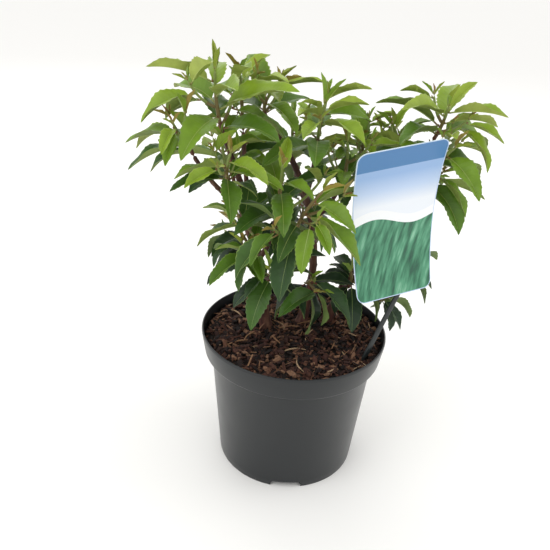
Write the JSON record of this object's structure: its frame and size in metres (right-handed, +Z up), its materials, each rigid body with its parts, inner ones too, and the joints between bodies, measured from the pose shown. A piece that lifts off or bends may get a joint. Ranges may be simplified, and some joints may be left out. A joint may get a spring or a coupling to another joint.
{
  "type": "potted portuguese laurel",
  "caption": "Young portuguese laurel shrub of three stems with lance-shaped evergreen leaves, in a round nursery pot with a plant label on a stake.",
  "frame": {"origin": "middle of the flat pad under the pot, on the ground", "axes": "+Z up along the pot's axis, -Y towards the side that shows the plant label, +X to the right of it"},
  "size_m": [0.3272, 0.245, 0.4241],
  "materials": {
    "pot_plastic": "satin",
    "compost": "rough bark mulch",
    "bark": "smooth young bark",
    "foliage": "glossy leaf",
    "card": "printed plastic card",
    "stake_plastic": "satin"
  },
  "bodies": {
    "root": {"pot": "pot_plastic", "soil": "compost", "label_card": "card", "label_stake": "stake_plastic", "stem_left": "bark", "stem_centre": "bark", "stem_right": "bark", "bough_upper_left": "bark", "bough_upper_middle": "bark", "bough_outer_left": "bark", "bough_upper_right": "bark", "bough_right_shoulder": "bark", "bough_front_left": "bark", "bough_front_centre": "bark", "bough_front_middle": "bark", "bough_mid_right": "bark", "bough_outer_right": "bark", "bough_side_right": "bark", "bough_low_right": "bark", "bough_side_left": "bark", "bough_mid_left": "bark", "bough_low_left": "bark", "bough_low_front": "bark", "bough_low_front_right": "bark", "bough_low_side": "bark", "bough_back_left": "bark", "bough_back_centre": "bark", "bough_back_right": "bark", "bough_low_back": "bark", "bough_low_back_left": "bark", "leaves_top_left": "foliage", "leaves_top_centre": "foliage", "leaves_top_right": "foliage", "leaves_upper_left": "foliage", "leaves_upper_middle": "foliage", "leaves_outer_left": "foliage", "leaves_upper_right": "foliage", "leaves_right_shoulder": "foliage", "leaves_front_left": "foliage", "leaves_front_centre": "foliage", "leaves_front_middle": "foliage", "leaves_mid_right": "foliage", "leaves_outer_right": "foliage", "leaves_side_right": "foliage", "leaves_low_right": "foliage", "leaves_side_left": "foliage", "leaves_mid_left": "foliage", "leaves_low_left": "foliage", "leaves_low_front": "foliage", "leaves_low_front_right": "foliage", "leaves_low_side": "foliage", "leaves_back_left": "foliage", "leaves_back_centre": "foliage", "leaves_back_right": "foliage", "leaves_low_back": "foliage", "leaves_low_back_left": "foliage"}
  },
  "joints": []
}
